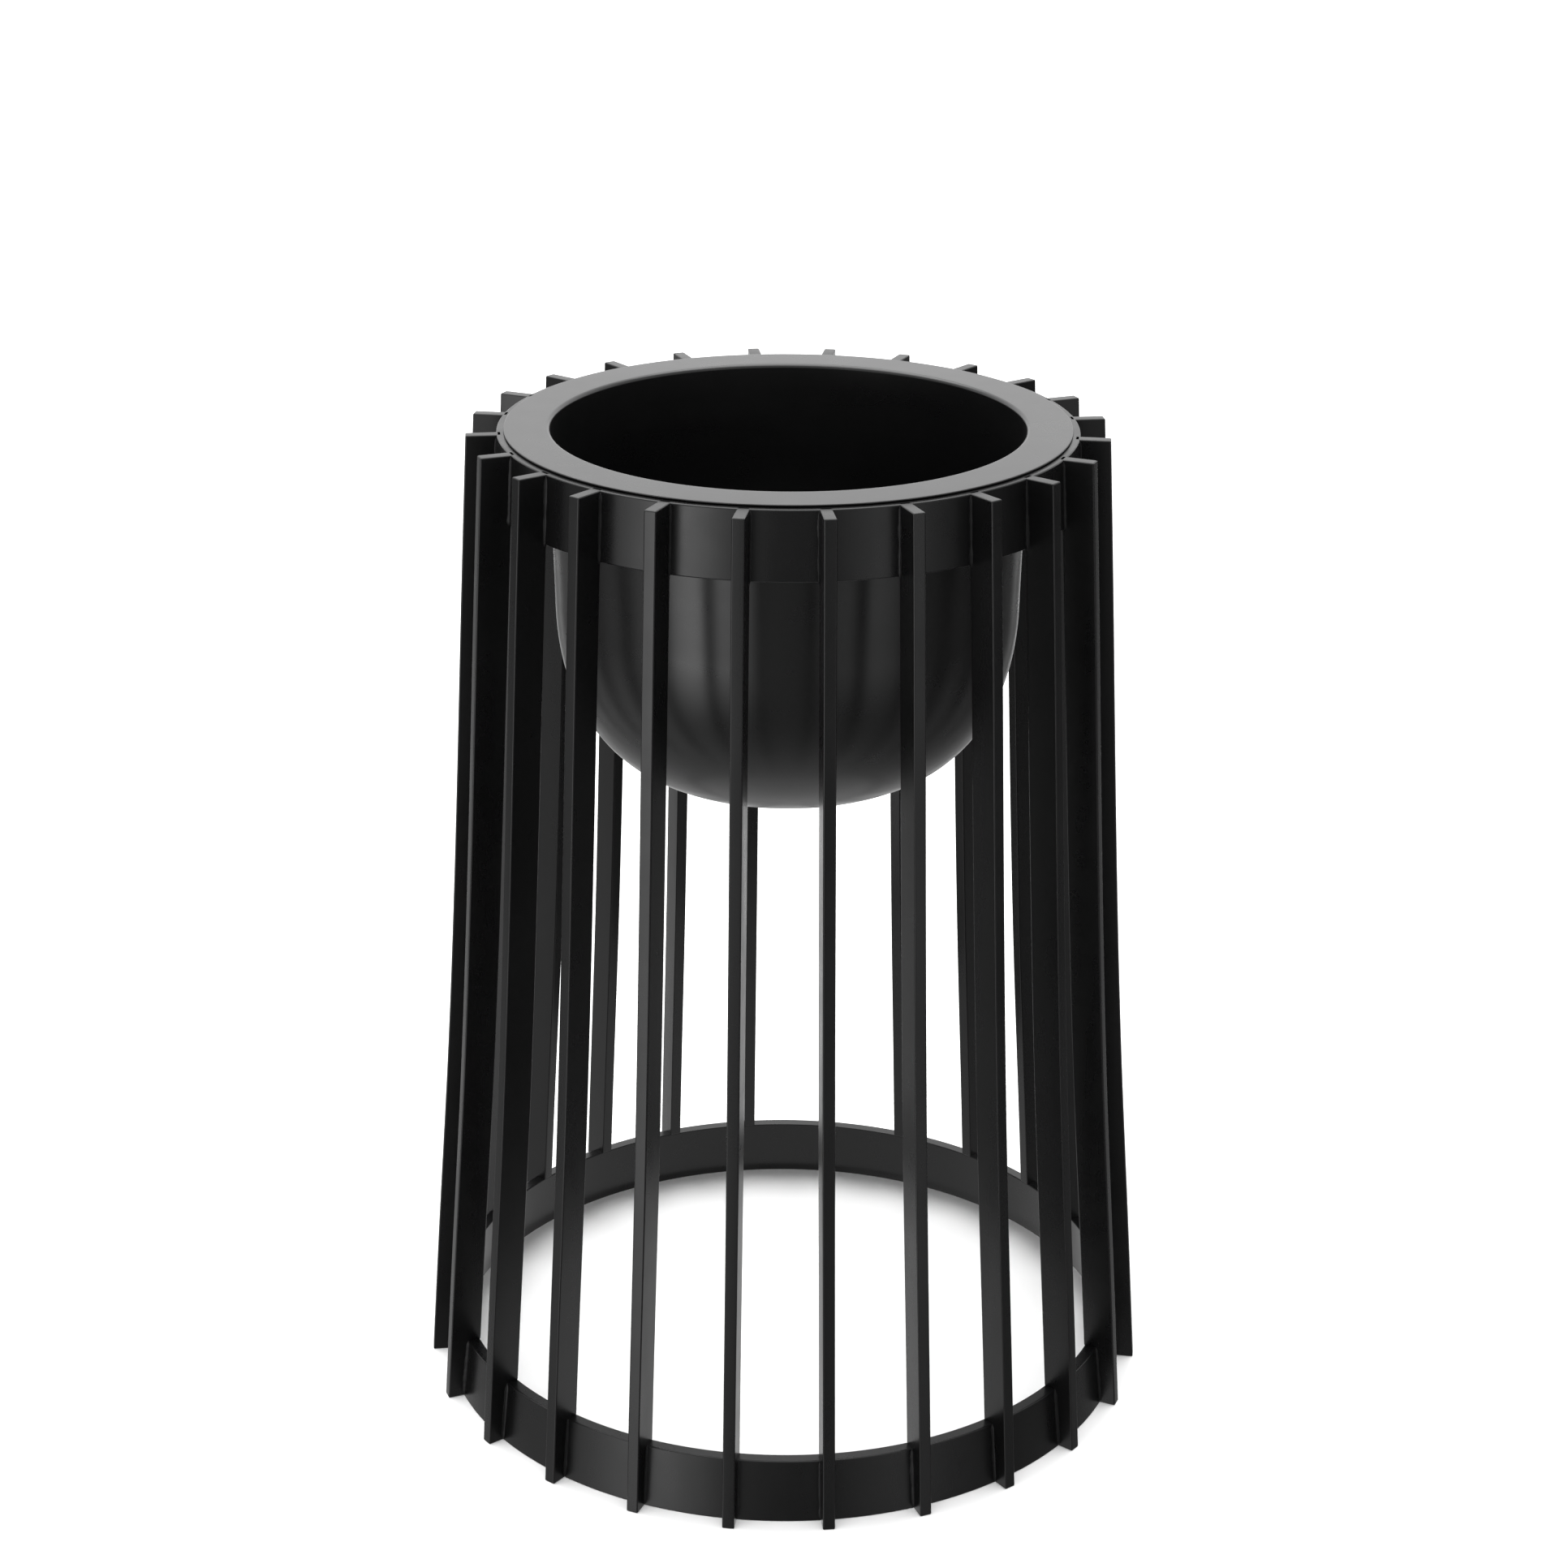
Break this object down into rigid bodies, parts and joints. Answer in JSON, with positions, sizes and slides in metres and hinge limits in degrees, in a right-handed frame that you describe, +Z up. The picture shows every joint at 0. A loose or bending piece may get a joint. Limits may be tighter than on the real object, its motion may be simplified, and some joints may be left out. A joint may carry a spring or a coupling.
{
  "type": "umbrella stand",
  "caption": "Flared round stand of upright radial metal slats welded to an upper and a lower band ring, with a flanged round-bottomed bowl that lifts out of the upper ring.",
  "frame": {"origin": "centre of the stand's footprint, level with the surface it stands on", "axes": "+Z up along the stand's axis; -Y is the front, and the two front slats stand 7.5 degrees either side of it; +X to the right seen from the front"},
  "size_m": [0.3728, 0.3728, 0.5013],
  "materials": {
    "frame_paint": "satin black paint",
    "bowl_paint": "satin black paint, smooth spun sheet"
  },
  "bodies": {
    "stand": {"top_ring": "frame_paint", "bottom_ring": "frame_paint", "slat_01": "frame_paint", "slat_02": "frame_paint", "slat_03": "frame_paint", "slat_04": "frame_paint", "slat_05": "frame_paint", "slat_06": "frame_paint", "slat_07": "frame_paint", "slat_08": "frame_paint", "slat_09": "frame_paint", "slat_10": "frame_paint", "slat_11": "frame_paint", "slat_12": "frame_paint", "slat_13": "frame_paint", "slat_14": "frame_paint", "slat_15": "frame_paint", "slat_16": "frame_paint", "slat_17": "frame_paint", "slat_18": "frame_paint", "slat_19": "frame_paint", "slat_20": "frame_paint", "slat_21": "frame_paint", "slat_22": "frame_paint", "slat_23": "frame_paint", "slat_24": "frame_paint", "top_welds": "frame_paint", "bottom_welds": "frame_paint"},
    "bowl": {"bowl": "bowl_paint"}
  },
  "joints": [
    {"name": "bowl_lift", "type": "slide", "parent": "stand", "child": "bowl", "axis": [0, 0, 1], "range_m": [0, 0.1612]}
  ]
}
